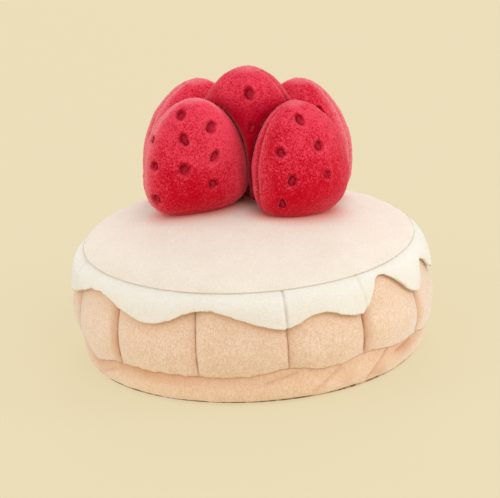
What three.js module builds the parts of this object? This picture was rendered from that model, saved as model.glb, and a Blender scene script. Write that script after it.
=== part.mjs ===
// A stuffed toy in the shape of a strawberry tart.
// A quilted crust wall stands on a flat-bottomed base, a cream skirt with a dripping hem hangs over the
// wall, a domed cream cushion closes the top, and five plush strawberries are sewn on in a cluster.
// Millimetres, +Z up. The origin is the middle of the underside, and -Y is the front.
import * as THREE from "three";
import { mergeVertices } from "three/addons/utils/BufferGeometryUtils.js";

// ---------------------------------------------------------------- driving dimensions
const BODY_RADIUS = 60; // the crust wall at its fullest
const SEAM_HEIGHT = 10.4; // the seam between base and wall
const RIM_HEIGHT = 37.8; // the seam between skirt and cream cushion
const DOME_RISE = 12.8; // the cream cushion's middle above that seam
const DOME_EDGE = 1.2; // how much of that rise its rounded edge makes
const BERRY_WIDTH = 34;
const BERRY_DEPTH = 23.2;
const BERRY_HEIGHT = 38;
const GAP = 0.4; // between pieces that are sewn together
const PRESS_GAP = 0.7; // between berries that press on each other

const BASE_FLAT_RADIUS = BODY_RADIUS - 5.8;
const BASE_RADIUS = BODY_RADIUS - 1.9;
const SEAM_RADIUS = BODY_RADIUS - 3;
const RIM_RADIUS = BODY_RADIUS - 4.2;
const CORE_RADIUS = 0.75 * BODY_RADIUS; // inside this the sewn faces are flat
const SKIRT_THICKNESS = 1.3;
const LEAN = 0.035; // how far the settled stuffing leans to the left, for each millimetre of height
const LEAN_FOOT = 24; // the height about which it leans
const DOME_SLUMP = 0.15; // share of its rise that the cushion has lost on its right and won on its left

// The vertical seams that quilt the wall, in degrees round from the front, and how deep they pull in.
const PANEL_SEAMS = [-49, -19, 10, 36.5, 64.5, 92, 119, 147, 174, 201, 229, 256, 284];
const PANEL_SEAM_DEPTH = 2.2;

// Where the hem of the skirt turns, as [degrees round from the front, height]: drips and arches by turns.
const HEM_TURNS = [
  [-82, 26.4], [-57, 33.6], [-35, 27.4], [-15, 32.8], [9.5, 26.4], [21, 29.7], [35, 26.4],
  [46, 35.7], [63.5, 25.3], [72, 33], [84, 26.4], [102, 33.4], [120, 27], [137, 31.5], [155, 25.8],
  [172, 33.6], [190, 26.8], [206, 30.4], [221, 26], [236, 34], [252, 27.4], [264, 31],
];

// Where the base's cloth is drawn up into the wall or sags below it, as [degrees round, rise].
const SEAM_PEAKS = [[10, 2], [38, 1.9], [-63, -2.6], [76, -2], [147, 2], [201, 1.6], [256, -1.8]];
const SEAM_PEAK_SPREAD = 8; // degrees

// The seeds stitched on a berry's panel, as [degrees round from the panel's middle, share of the height].
const PANEL_SEEDS = [
  [-52, 0.29], [-50, 0.56], [-18, 0.17], [-18, 0.43], [-18, 0.72], [19, 0.3], [19, 0.56], [18, 0.84],
  [54, 0.17], [53, 0.43],
];

// Each berry's place on the dome, its size against the usual one, its turn about its own axis and its
// lean, both in degrees, how far its tip and its foot bend sideways, and the seeds on its front panel if
// they differ.
const BERRIES = [
  {
    name: "berry_front_left", x: -16.7, y: -3.6, width: 1, height: 0.985, turn: 8, lean: 0, bend: 0.6,
    seeds: [
      [-56, 0.17], [-56, 0.46], [-68, 0.71], [-16, 0.46], [-16, 0.71], [-27, 0.91], [16, 0.29], [21, 0.53],
      [26, 0.78],
    ],
  },
  {
    name: "berry_front_right", x: 17.4, y: -7.6, width: 1, height: 0.985, turn: 20, lean: 0, bend: -2.4,
    foot: -1.2,
    seeds: [[-29, 0.14], [-20, 0.37], [-33, 0.62], [18, 0.62], [24, 0.36], [6, 0.87]],
  },
  { name: "berry_back_left", x: -16.9, y: 21.6, width: 1.04, height: 1.02, turn: 22, lean: 3, bend: 1.6 },
  { name: "berry_back_right", x: 18.1, y: 18.8, width: 1.05, height: 1, turn: -26, lean: 2.4, bend: 0.2 },
  {
    name: "berry_centre", x: 1.8, y: 5.4, width: 1.1, height: 1.185, turn: -16, lean: 0, bend: 0,
    seeds: [[13, 0.6], [13, 0.85]],
  },
];

const COLOURS = {
  crust: { color: 0xe9c29a, roughness: 0.95 },
  crustBase: { color: 0xe0ae82, roughness: 0.95 },
  cream: { color: 0xf2ece0, roughness: 0.95 },
  creamTop: { color: 0xefdfcb, roughness: 0.95 },
  berry: { color: 0xc8203a, roughness: 0.9 },
};

// ---------------------------------------------------------------- small helpers
const radians = THREE.MathUtils.degToRad;
const smooth = THREE.MathUtils.smoothstep;
const wrap = THREE.MathUtils.euclideanModulo;

// A point of the body at an angle round from the front, in degrees, a distance from the axis and a height.
function around(angle, radius, height) {
  const a = radians(angle);
  const lean = -LEAN * (height - LEAN_FOOT);
  return new THREE.Vector3(radius * Math.sin(a) + lean, -radius * Math.cos(a), height);
}

// Degrees from one direction to another, the short way round.
function turnBetween(from, to) {
  return wrap(to - from + 180, 360) - 180;
}

// Where a direction lies in a ring of stops: the stop before it, the stop after it and the share between.
function between(stops, angle) {
  for (let i = 0; i < stops.length; i++) {
    const next = (i + 1) % stops.length;
    const width = wrap(stops[next] - stops[i], 360);
    const along = wrap(angle - stops[i], 360);
    if (along < width) return { before: i, after: next, share: along / width, width };
  }
  throw new Error("no stop before " + angle);
}

// The place in a list of the value nearest to a wanted one.
function nearestTo(wanted, values, distance) {
  const distances = values.map((value) => Math.abs(distance(wanted, value)));
  return distances.indexOf(Math.min(...distances));
}

// A smooth outline through [radius, height] points.
function outline(points) {
  return new THREE.SplineCurve(points.map(([r, z]) => new THREE.Vector2(r, z)));
}

// A closed skin: rings of points from the lowest to the highest, shut by a point at each end.
function closedSkin(rings, bottom, top) {
  const columns = rings[0].length;
  const points = [bottom, ...rings.flat(), top];
  const at = (row, column) => 1 + row * columns + (column % columns);
  const triangles = [];
  for (let c = 0; c < columns; c++) {
    triangles.push([0, at(0, c + 1), at(0, c)]);
    for (let r = 0; r < rings.length - 1; r++) {
      triangles.push([at(r, c), at(r, c + 1), at(r + 1, c + 1)]);
      triangles.push([at(r, c), at(r + 1, c + 1), at(r + 1, c)]);
    }
    triangles.push([points.length - 1, at(rings.length - 1, c), at(rings.length - 1, c + 1)]);
  }
  return { points, triangles, at };
}

// A closed band: rings that run round a section and come back to the first.
function closedBand(rings) {
  const columns = rings[0].length;
  const at = (row, column) => (row % rings.length) * columns + (column % columns);
  const triangles = [];
  for (let r = 0; r < rings.length; r++) {
    for (let c = 0; c < columns; c++) {
      triangles.push([at(r, c), at(r, c + 1), at(r + 1, c + 1)]);
      triangles.push([at(r, c), at(r + 1, c + 1), at(r + 1, c)]);
    }
  }
  return { points: rings.flat(), triangles };
}

function meshOf(name, { points, triangles }, colour) {
  const positions = points.flatMap((p) => p.toArray());
  const geometry = new THREE.BufferGeometry();
  geometry.setAttribute("position", new THREE.Float32BufferAttribute(positions, 3));
  geometry.setIndex(triangles.flat());
  const material = new THREE.MeshStandardMaterial({ metalness: 0, ...colour });
  const mesh = new THREE.Mesh(mergeVertices(geometry), material);
  mesh.geometry.computeVertexNormals();
  mesh.name = name;
  return mesh;
}

// ---------------------------------------------------------------- the body's shapes
// 0 at a quilted panel's seams and 1 over its stuffed middle.
function pillow(angle) {
  const offCentre = Math.abs(2 * between(PANEL_SEAMS, angle).share - 1);
  return Math.sqrt(1 - offCentre ** 3);
}

// The height of the seam between base and wall.
function seamHeight(angle) {
  const rise = (peak) => peak[1] * Math.exp(-((turnBetween(peak[0], angle) / SEAM_PEAK_SPREAD) ** 2));
  return SEAM_HEIGHT + SEAM_PEAKS.reduce((sum, peak) => sum + rise(peak), 0);
}

// The height of the sewn face between base and wall, flat in the middle and following the seam outside.
function sewnFace(angle, radius) {
  return SEAM_HEIGHT + (seamHeight(angle) - SEAM_HEIGHT) * smooth(radius, CORE_RADIUS, SEAM_RADIUS);
}

// The wall's outer outline: its radius, and the share of the way up from the base's seam to the rim's.
const WALL_OUTLINE = outline([
  [SEAM_RADIUS, 0],
  [BODY_RADIUS - 0.6, 0.13],
  [BODY_RADIUS, 0.32],
  [BODY_RADIUS - 1.5, 0.6],
  [BODY_RADIUS - 3.4, 0.84],
  [RIM_RADIUS - 1.6, 1],
]);

// The wall's radius where its outline is at a share of its length.
function wallRadius(angle, along) {
  const tucked = Math.sqrt(Math.sin(Math.PI * along));
  return WALL_OUTLINE.getPoint(along).x - PANEL_SEAM_DEPTH * tucked * (1 - pillow(angle));
}

// The share of the wall's outline where it reaches a height.
function wallAlong(angle, height) {
  const low = seamHeight(angle);
  const wanted = (height - low) / (RIM_HEIGHT - low);
  let from = 0;
  let to = 1;
  for (let i = 0; i < 20; i++) {
    const middle = (from + to) / 2;
    if (WALL_OUTLINE.getPoint(middle).y < wanted) from = middle;
    else to = middle;
  }
  return from;
}

// The height of the skirt's hem.
function hemHeight(angle) {
  const { before, after, share } = between(HEM_TURNS.map((turn) => turn[0]), angle);
  return THREE.MathUtils.lerp(HEM_TURNS[before][1], HEM_TURNS[after][1], smooth(share, 0, 1));
}

// The cream cushion's height at an angle round from the front and a distance from the axis.
function domeHeight(angle, radius) {
  const share = Math.min(radius / RIM_RADIUS, 1);
  const slump = 1 - DOME_SLUMP * share * Math.sin(radians(angle));
  return RIM_HEIGHT + slump * ((DOME_RISE - DOME_EDGE) * (1 - share ** 2.1) + DOME_EDGE * (1 - share ** 20));
}

// The same height over a point of the plan.
function domeOver(x, y) {
  const centre = -LEAN * (RIM_HEIGHT + DOME_RISE - LEAN_FOOT);
  return domeHeight(THREE.MathUtils.radToDeg(Math.atan2(x - centre, -y)), Math.hypot(x - centre, y));
}

// ---------------------------------------------------------------- the body's pieces
// Directions that fall on every quilting seam and crowd towards it.
function panelAngles(perPanel) {
  return PANEL_SEAMS.flatMap((from) => {
    const { width } = between(PANEL_SEAMS, from);
    return Array.from({ length: perPanel }, (_, k) => {
      const share = k / perPanel;
      return from + width * (share - 0.09 * Math.sin(2 * Math.PI * share));
    });
  });
}

function crustBase() {
  const angles = panelAngles(8);
  const side = outline([
    [BASE_FLAT_RADIUS, 0],
    [BASE_RADIUS - 1.4, 0.13],
    [BASE_RADIUS - 0.3, 0.38],
    [BASE_RADIUS, 0.64],
    [SEAM_RADIUS - 0.2, 1],
  ]);
  const rows = 5;
  const rings = [];
  for (let i = 0; i <= rows; i++) {
    const { x, y } = side.getPoint(i / rows);
    rings.push(angles.map((a) => around(a, x, Math.max(0, y) * (seamHeight(a) - GAP / 2))));
  }
  rings.push(angles.map((a) => around(a, CORE_RADIUS, sewnFace(a, CORE_RADIUS) - GAP / 2)));
  const skin = closedSkin(rings, around(0, 0, 0), around(0, 0, SEAM_HEIGHT - GAP / 2));
  return meshOf("crust_base", skin, COLOURS.crustBase);
}

function crustWall() {
  const angles = panelAngles(10);
  const rows = 8;
  const rings = [angles.map((a) => around(a, CORE_RADIUS, sewnFace(a, CORE_RADIUS) + GAP / 2))];
  for (let i = 0; i <= rows; i++) {
    const along = i / rows;
    rings.push(angles.map((a) => {
      const low = seamHeight(a) + GAP / 2;
      const high = RIM_HEIGHT - GAP / 2;
      return around(a, wallRadius(a, along), THREE.MathUtils.lerp(low, high, WALL_OUTLINE.getPoint(along).y));
    }));
  }
  const skin = closedSkin(rings, around(0, 0, SEAM_HEIGHT + GAP / 2), around(0, 0, RIM_HEIGHT - GAP / 2));
  return meshOf("crust_wall", skin, COLOURS.crust);
}

// The skirt hangs from the rim over the wall, clear of it by the gap, and bridges the quilting seams.
function creamSkirt() {
  const angles = panelAngles(10);
  const rows = 5;
  const rim = RIM_HEIGHT - GAP / 2;
  const lining = (a, height) => {
    const near = [-5, 0, 5].map((d) => wallRadius(a + d, wallAlong(a + d, height)));
    return Math.max(...near, WALL_OUTLINE.getPoint(wallAlong(a, height)).x - 0.8) + GAP;
  };
  const ring = (share, thickness) => angles.map((a) => {
    const height = THREE.MathUtils.lerp(hemHeight(a), rim, share);
    return around(a, lining(a, height) + thickness, height);
  });
  const shares = Array.from({ length: rows }, (_, i) => i / (rows - 1));
  const inside = shares.toReversed().map((share) => ring(share, 0));
  const outside = shares.map((share) => ring(0.06 + 0.9 * share, SKIRT_THICKNESS * (1 - 0.3 * share)));
  return meshOf("cream_skirt", closedBand([...inside, ...outside]), COLOURS.cream);
}

function creamTop() {
  const columns = 84;
  const angles = Array.from({ length: columns }, (_, i) => (360 * i) / columns);
  const shares = [1, 0.993, 0.975, 0.945, 0.88, 0.78, 0.64, 0.46, 0.24];
  const floor = RIM_HEIGHT + GAP / 2;
  const rings = shares.map((share) => {
    const radius = share * (RIM_RADIUS - GAP);
    return angles.map((a) => around(a, radius, Math.max(domeHeight(a, radius), floor)));
  });
  const skin = closedSkin(rings, around(0, 0, floor), around(0, 0, domeHeight(0, 0)));
  return meshOf("cream_top", skin, COLOURS.creamTop);
}

// ---------------------------------------------------------------- the strawberries
const FULLEST = 0.33; // share of a berry's height where it is widest
const SEAM_PULL = 0.05; // share of the width that the side seams pull in
const SEED_RADIUS = 1.5;
const SEED_DEPTH = 0.7;
const ROOM_STEP = 0.05; // how far a squeezed berry's skin may stand out past the skin beside it
const ROOM_RISE = 0.27; // and past the skin of the row below, both as shares of its free width
// The directions of the columns in one of a berry's two panels, in degrees from the panel's middle; the
// side seams lie halfway between the panels.
const PANEL_COLUMNS = [-84, -74, -59, -38, -17, 0, 17, 38, 59, 74, 84];
const BERRY_COLUMNS = [0, 180].flatMap((panel) => [...PANEL_COLUMNS.map((a) => panel + a), panel + 90]);
const BERRY_ROWS = [0, 0.05, 0.14, 0.26, 0.39, 0.51, 0.64, 0.76, 0.87, 0.94, 0.985];

// A berry's half width against its greatest, at a share of its height.
function berryFullness(share) {
  if (share > FULLEST) return (1 - ((share - FULLEST) / (1 - FULLEST)) ** 2.05) ** 0.58;
  return (1 - 0.55 * ((FULLEST - share) / FULLEST) ** 3.4) ** 0.45;
}

function berryBend(berry, share) {
  return berry.bend * share ** 2 + (berry.foot ?? 0) * (1 - share) ** 4;
}

function berryTilt(berry) {
  return new THREE.Quaternion().setFromEuler(new THREE.Euler(0, radians(berry.lean), radians(berry.turn)));
}

function berryFoot(berry) {
  return new THREE.Vector3(berry.x, berry.y, domeOver(berry.x, berry.y));
}

// A point of a berry's skin, in the part's frame: the angle is round its own axis, from its front.
function berryPoint(berry, angle, share, swell = 1) {
  const a = radians(angle);
  const fromSeam = 90 - Math.abs(turnBetween(0, 2 * angle)) / 2;
  const full = berryFullness(share) * swell * (1 - SEAM_PULL * Math.exp(-((fromSeam / 5) ** 2)));
  const p = new THREE.Vector3(
    0.5 * BERRY_WIDTH * berry.width * full * Math.sin(a) + berryBend(berry, share),
    -0.5 * BERRY_DEPTH * berry.width * full * Math.cos(a),
    BERRY_HEIGHT * berry.height * share,
  );
  return p.applyQuaternion(berryTilt(berry)).add(berryFoot(berry));
}

// Whether a point lies within a berry's skin, let out by a margin.
function insideBerry(berry, point, margin) {
  const p = point.clone().sub(berryFoot(berry)).applyQuaternion(berryTilt(berry).invert());
  const share = Math.max(p.z, 0) / (BERRY_HEIGHT * berry.height + margin);
  if (share >= 1) return false;
  const full = berryFullness(share);
  const across = (p.x - berryBend(berry, share)) / (0.5 * BERRY_WIDTH * berry.width * full + margin);
  const deep = p.y / (0.5 * BERRY_DEPTH * berry.width * full + margin);
  return across ** 2 + deep ** 2 < 1;
}

// How far out from its axis a berry's skin can stand, from 0 to 1, before it presses on the others.
function roomAmong(others, berry, angle, share) {
  const blocked = (swell) => {
    const point = berryPoint(berry, angle, share, swell);
    return others.some((other) => insideBerry(other, point, PRESS_GAP));
  };
  if (!blocked(1)) return 1;
  let free = 0;
  let full = 1;
  for (let i = 0; i < 12; i++) {
    const middle = (free + full) / 2;
    if (blocked(middle)) full = middle;
    else free = middle;
  }
  return free;
}

// Presses stitched seeds into a berry's skin: each draws the nearest point of the net to its own place.
function pressSeeds(berry, skin, seeds) {
  const pressed = new Set();
  for (const [angle, share] of seeds) {
    const row = nearestTo(share, BERRY_ROWS, (a, b) => a - b);
    const vertex = skin.at(row, nearestTo(angle, BERRY_COLUMNS, turnBetween));
    skin.points[vertex].copy(berryPoint(berry, angle, share));
    pressed.add(vertex);
  }
  const rims = new Map();
  const rimPoint = (centre, neighbour) => {
    const key = centre + ":" + neighbour;
    if (!rims.has(key)) {
      const from = skin.points[centre];
      const to = skin.points[neighbour];
      const share = Math.min(SEED_RADIUS / from.distanceTo(to), 0.6);
      rims.set(key, skin.points.push(from.clone().lerp(to, share)) - 1);
    }
    return rims.get(key);
  };
  const triangles = skin.triangles.flatMap((triangle) => {
    const turn = triangle.findIndex((v) => pressed.has(v));
    if (turn < 0) return [triangle];
    const [c, a, b] = [0, 1, 2].map((k) => triangle[(turn + k) % 3]);
    const [ca, cb] = [rimPoint(c, a), rimPoint(c, b)];
    return [[ca, a, b], [ca, b, cb], [c, ca, cb]];
  });
  const core = berryPoint(berry, 0, 0.45, 0);
  for (const vertex of pressed) {
    skin.points[vertex].add(core.clone().sub(skin.points[vertex]).setLength(SEED_DEPTH));
  }
  return { points: skin.points, triangles };
}

// Eases a net of rooms: none stands out far past those beside it and below it, and none widens again on
// its way down.
function easeRooms(room) {
  const columns = room[0].length;
  for (let row = room.length - 2; row > 0; row--) {
    room[row] = room[row].map((own, c) => {
      const beside = (room[row][(c + 1) % columns] + room[row][(c + columns - 1) % columns]) / 2;
      const above = BERRY_ROWS[row] < 0.6 ? room[row + 1][c] : 1;
      return Math.min(own, beside + ROOM_STEP, above, room[row - 1][c] + ROOM_RISE);
    });
  }
  room[0] = room[1];
}

// Beds a point of a berry on the dome: at the foot it follows the dome, and higher up less and less.
function bedOnDome(berry, point, share) {
  const dome = domeOver(point.x, point.y);
  const bedded = point.z + (dome - berryFoot(berry).z) * (1 - share) ** 4;
  return point.setZ(Math.max(bedded, dome + GAP));
}

// One berry. Where the others leave it too little room it narrows, and stays narrow down to the dome.
function strawberry(berry, others) {
  const room = BERRY_ROWS.map((share) => BERRY_COLUMNS.map((a) => roomAmong(others, berry, a, share)));
  for (let pass = 0; pass < 4; pass++) easeRooms(room);
  const bedded = (angle, share, swell) => bedOnDome(berry, berryPoint(berry, angle, share, swell), share);
  const rings = BERRY_ROWS.map((share, row) => {
    return BERRY_COLUMNS.map((angle, column) => bedded(angle, share, room[row][column]));
  });
  const skin = closedSkin(rings, bedded(0, 0, 0), bedded(0, 0.995, 0));
  const backSeeds = PANEL_SEEDS.map(([angle, share]) => [angle + 180, share]);
  const seeds = [...(berry.seeds ?? PANEL_SEEDS), ...backSeeds];
  const free = seeds.filter(([angle, share]) => roomAmong(others, berry, angle, share) === 1);
  return meshOf(berry.name, pressSeeds(berry, skin, free), COLOURS.berry);
}

// ---------------------------------------------------------------- the whole toy
const tart = new THREE.Group();
tart.name = "strawberry_tart_toy";
tart.add(crustBase(), crustWall(), creamSkirt(), creamTop());
for (const berry of BERRIES) {
  const pressedBy = berry.name === "berry_centre" ? BERRIES.filter((other) => other !== berry) : [];
  tart.add(strawberry(berry, pressedBy));
}

export default tart;
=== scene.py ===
"""A stuffed toy in the shape of a strawberry tart: the plush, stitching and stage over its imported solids.

The file is laid out as an add-on whose panel, in the 3D view's sidebar, makes the toy piece by piece.
Lengths are in metres in the part's own frame: the origin is the middle of the underside, +Z is up and -Y is
the front. Angles round the tart are in degrees from the front and grow towards +X. Shares run from 0 to 1.
"""
import itertools
import math
from dataclasses import dataclass

import bpy
import numpy as np
from bpy.props import FloatProperty, FloatVectorProperty, PointerProperty
from mathutils import Matrix, Vector


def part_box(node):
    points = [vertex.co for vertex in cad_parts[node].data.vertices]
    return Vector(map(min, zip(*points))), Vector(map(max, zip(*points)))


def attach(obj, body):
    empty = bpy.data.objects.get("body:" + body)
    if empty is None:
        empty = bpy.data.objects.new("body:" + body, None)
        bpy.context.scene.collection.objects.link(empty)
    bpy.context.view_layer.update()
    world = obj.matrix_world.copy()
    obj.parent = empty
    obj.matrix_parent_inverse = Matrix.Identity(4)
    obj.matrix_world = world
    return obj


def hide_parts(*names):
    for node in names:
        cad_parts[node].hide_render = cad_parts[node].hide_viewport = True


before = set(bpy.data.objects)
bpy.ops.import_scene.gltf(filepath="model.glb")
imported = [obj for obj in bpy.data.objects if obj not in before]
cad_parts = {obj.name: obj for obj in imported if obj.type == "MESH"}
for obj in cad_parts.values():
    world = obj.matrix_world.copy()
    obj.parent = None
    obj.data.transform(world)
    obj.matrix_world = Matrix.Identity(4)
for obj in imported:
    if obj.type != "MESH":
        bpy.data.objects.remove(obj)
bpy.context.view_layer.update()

bl_info = {
    "name": "Plush strawberry tart",
    "version": (1, 0, 0),
    "blender": (4, 5, 0),
    "location": "View3D > Sidebar > Tart",
    "description": "Makes a stuffed strawberry tart over its packed solids",
    "category": "Add Mesh",
}

MM = 0.001

# ---- the tart's own sizes
WALL_BOX, TOP_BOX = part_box("crust_wall"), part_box("cream_top")
BODY_RADIUS = round((WALL_BOX[1].y - WALL_BOX[0].y) / 2, 3)
BASE_RADIUS = BODY_RADIUS - 2.4 * MM
BASE_FLAT_RADIUS = BODY_RADIUS - 6.6 * MM
SEAM_RADIUS = BODY_RADIUS - 3 * MM
RIM_RADIUS = BODY_RADIUS - 5 * MM
CORE_RADIUS = 0.75 * BODY_RADIUS
SEAM_HEIGHT = 10.4 * MM
RIM_HEIGHT = TOP_BOX[0].z - 0.2 * MM
DOME_RISE = TOP_BOX[1].z - RIM_HEIGHT
# How much of the dome's rise comes right at its edge, and the share of its rise that is lost on the right.
DOME_EDGE, DOME_SLUMP = 1.2 * MM, 0.19
# How far the body leans to the left for its height, and the height that stays in place.
LEAN, LEAN_FOOT = 0.018, 24 * MM
# Where, how widely (both in degrees) and how deep the base is tucked in, and how far its sides spread.
TUCK_TOWARDS, TUCK_WIDTH, TUCK_DEPTH = 70, 30, 0.8 * MM
BASE_SPREAD = 1.8 * MM
# What parts neighbouring pieces inside the toy, and what parts base and wall where their seam shows.
GAP, SEAM_GAP = 0.4 * MM, 0.12 * MM

# The seams that quilt the wall and how strongly the pile beside each is shaded, the turns of the hem
# (degrees, height in millimetres), and where the base's cloth is drawn up into the wall or sags (degrees,
# rise in millimetres).
PANEL_SEAMS = (-49, -19, 10, 36.5, 64.5, 92, 119, 147, 174, 201, 229, 256, 284)
SEAM_SHADES = (0.9, 0.25, 0.25, 0.75, 0.6, 0.4, 0.3, 0.6, 0.3, 0.5, 0.3, 0.6, 0.4)
HEM_TURNS = (
    (-82, 26.4), (-58, 32.6), (-35, 27.4), (-15, 32.8), (9.5, 26.4), (21, 29.7), (35, 26.4), (46, 35.7),
    (63.5, 25.3), (72, 33), (84, 26.4), (102, 33.4), (120, 27), (137, 31.5), (155, 25.8), (172, 33.6),
    (190, 26.8), (206, 30.4), (221, 26), (236, 34), (252, 27.4), (264, 31),
)
SEAM_PEAKS = ((10, 2), (38, 1.9), (-63, -2.6), (76, -2), (147, 2), (201, 1.6), (256, -1.8))
SEAM_PEAK_SPREAD = 8
# Folds of the base's cloth: from (degrees, height in millimetres) to (degrees, height), and their depth.
BASE_FOLDS = (
    ((18, 3), (27, 9.5), 0.35), ((38, 2.5), (46.5, 10.3), 0.45), ((51, 8.2), (60, 9.6), 0.4),
    ((2, 7.5), (12, 10.4), 0.3), ((-64, 3), (-52, 7.4), 0.3), ((140, 3), (150, 9.4), 0.5),
    ((196, 9.2), (208, 4), 0.45), ((251, 4), (262, 7.5), 0.4),
)
# Where the base's cloth lies in shade: degrees, height in millimetres, half its size in both, and how much.
BASE_SHADES = ((59, 7.4, 8, 3.4, 0.75), (43.5, 3.4, 3.5, 2.6, 0.6), (30, 4.5, 3, 3, 0.3), (204, 5, 6, 3, 0.4),
               (-66, 6, 9, 4, 0.35))
# How dark the painted shadow along the base's foot is, where it is lighter: degrees, half width, how much.
FOOT_SHADOW, FOOT_LIGHTER = 1.5, ((65, 30, 0.8), (21, 8, 0.7))
# The wall's shadow on the base: how much, and how much more about a direction, over a width in degrees.
WALL_SHADOW = (0.35, 0.45, -40, 22)
SKIRT_SEAMS = ((10, 1.0), (37.2, 0.4), (119, 0.4), (190, 1.0), (284, 0.5))

# The grids: columns in each quilted panel, or degrees between columns, and rows. The skirt's rows are those
# of its lining, of the lips at its hem and its rim, and of its outside.
BASE_COLUMNS, BASE_ROWS = 44, 56
WALL_COLUMNS, WALL_ROWS = 52, 76
LINING_ROWS, LIP_ROWS, OUTSIDE_ROWS = 12, 10, 36
TOP_STEP, TOP_ROWS = 0.6, 103
BERRY_STEP, BERRY_ROWS = 0.9, 176

BERRY_WIDTH, BERRY_DEPTH, BERRY_HEIGHT = 34 * MM, 23.2 * MM, 38 * MM
FULLEST = 0.33
BERRY_GAP = 0.5 * MM
SEED_WIDTH, SEED_HEIGHT = 3.6 * MM, 4.15 * MM
# The least and most of a seed's width and height against the usual ones, and of its turn in degrees.
SEED_RANGE = ((0.62, 0.74, -38), (1.0, 1.06, 38))
PANEL_SEEDS = (
    (-52, 0.29), (-50, 0.56), (-18, 0.17), (-18, 0.43), (-18, 0.72), (19, 0.3), (19, 0.56), (18, 0.84),
    (54, 0.17), (53, 0.43),
)


@dataclass
class Berry:
    """A strawberry's place on the dome, its size against the usual one, its turn and lean in degrees, how far
    its tip and foot bend sideways in millimetres, how far the painted shade from other berries reaches in
    millimetres, how strong its painted rim light is, a patch of painted light (degrees, how much; below 0 it
    is painted shade), the berries that press it in, and the seeds on its front panel as (degrees, share)."""

    x: float
    y: float
    width: float
    height: float
    turn: float
    lean: float = 0
    bend: float = 0
    foot: float = 0
    shade_between: float = 4
    rim_light_strength: float = 1
    painted_light_patch: tuple = (0, 0)
    gives_way: tuple = ()
    seeds: tuple = PANEL_SEEDS


BERRIES = {
    "berry_front_left": Berry(
        -16.5, -3.6, 1.01, 0.985, 8, bend=0.6, shade_between=2, rim_light_strength=1.7, painted_light_patch=(58, 0.95),
        seeds=((-58, 0.17), (-58, 0.46), (-77, 0.675), (-17, 0.445), (-18, 0.7), (-32, 0.895), (14, 0.29),
               (19, 0.535), (23, 0.78))),
    "berry_front_right": Berry(
        18.4, -6.2, 1.015, 0.99, 32, bend=-2.4, foot=-1.2, shade_between=7, rim_light_strength=0.2, painted_light_patch=(-68, -0.75),
        seeds=((-47, 0.155), (-34, 0.38), (-48, 0.62), (5, 0.635), (9, 0.375), (-11, 0.875))),
    "berry_back_left": Berry(-17.9, 21.6, 1.015, 1.02, 18, lean=3, bend=1.6, rim_light_strength=1.3),
    "berry_back_right": Berry(
        18.9, 19.3, 1.0, 1.02, -20, lean=2.4, bend=-0.8, rim_light_strength=1.3, painted_light_patch=(40, -0.3),
        gives_way=("berry_front_right",), seeds=PANEL_SEEDS[:7] + ((44, 0.76),)),
    "berry_centre": Berry(
        1.6, 5.4, 1.12, 1.185, -23, bend=1.1, shade_between=13, rim_light_strength=0.6,
        gives_way=("berry_front_left", "berry_front_right", "berry_back_left", "berry_back_right"),
        seeds=((20, 0.595), (18, 0.835))),
}


# ---- numbers over arrays
def smooth(value, low, high):
    """A smooth step of an array from 0 at low to 1 at high."""
    share = np.clip((value - low) / (high - low), 0, 1)
    return share * share * (3 - 2 * share)


def bell(distance, width):
    return np.exp(-((distance / width) ** 2))


def turn_between(start, end):
    """Degrees from one direction to another, the short way round."""
    return (end - start + 180) % 360 - 180


def towards(direction, angle, width):
    """1 in a direction, falling off to both sides of it over a width in degrees."""
    return bell(turn_between(direction, angle), width)


def between(stops, angle):
    """Where directions lie in a ring of stops: the stop before, the stop after and the share between."""
    stops = np.asarray(stops, float)
    along = (np.asarray(angle, float)[..., None] - stops) % 360
    before = along.argmin(-1)
    after = (before + 1) % len(stops)
    width = (stops[after] - stops[before]) % 360
    return before, after, along.min(-1) / width


def spline(points, share):
    """A smooth line through points, at shares of its length in points."""
    points = np.asarray(points, float)
    last = len(points) - 1
    place = np.clip(np.asarray(share, float), 0, 1) * last
    first = np.clip(np.floor(place).astype(int), 0, last - 1)
    t = (place - first)[..., None]
    p0, p1, p2, p3 = (points[np.clip(first + k, 0, last)] for k in (-1, 0, 1, 2))
    v0, v1 = (p2 - p0) / 2, (p3 - p1) / 2
    return (2 * p1 - 2 * p2 + v0 + v1) * t**3 + (3 * p2 - 3 * p1 - 2 * v0 - v1) * t**2 + v0 * t + p1


def lumps(points, size, seed):
    """Smooth noise from -1 to 1 whose lumps are about a size across."""
    table = np.random.default_rng(seed).uniform(-1, 1, (32, 32, 32))
    place = np.asarray(points) / size + 100
    cell = np.floor(place).astype(int)
    t = place - cell
    t = t * t * (3 - 2 * t)
    total = 0
    for corner in itertools.product((0, 1), repeat=3):
        weight = np.prod(np.where(corner, t, 1 - t), axis=-1)
        x, y, z = np.moveaxis((cell + corner) % 32, -1, 0)
        total = total + weight * table[x, y, z]
    return total


def rough(points, *layers):
    """Lumps added up in layers, each its depth and its lumps' size in millimetres and a seed."""
    return sum(depth * MM * lumps(points, size * MM, seed) for depth, size, seed in layers)


def grid_normals(points):
    """Outward directions over a grid whose columns close round."""
    across = np.roll(points, -1, 1) - np.roll(points, 1, 1)
    normals = np.cross(across, np.gradient(points, axis=0))
    return normals / np.maximum(np.linalg.norm(normals, axis=-1, keepdims=True), 1e-12)


def lifted(rings, relief):
    """A grid's points moved outwards by a relief."""
    return rings + grid_normals(rings) * relief[..., None]


# ---- the body's shapes
def around(angle, radius, height):
    a = np.radians(angle)
    x = radius * np.sin(a) - LEAN * (height - LEAN_FOOT)
    return np.stack(np.broadcast_arrays(x, -radius * np.cos(a), height), -1)


def panel_angles(per_panel, crowding=0.12):
    """Directions that fall on every quilting seam and crowd towards it."""
    share = np.arange(per_panel) / per_panel
    share = share - crowding * np.sin(2 * np.pi * share)
    stops = np.array([*PANEL_SEAMS, PANEL_SEAMS[0] + 360], float)
    return np.concatenate([a + (b - a) * share for a, b in zip(stops, stops[1:])])


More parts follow.
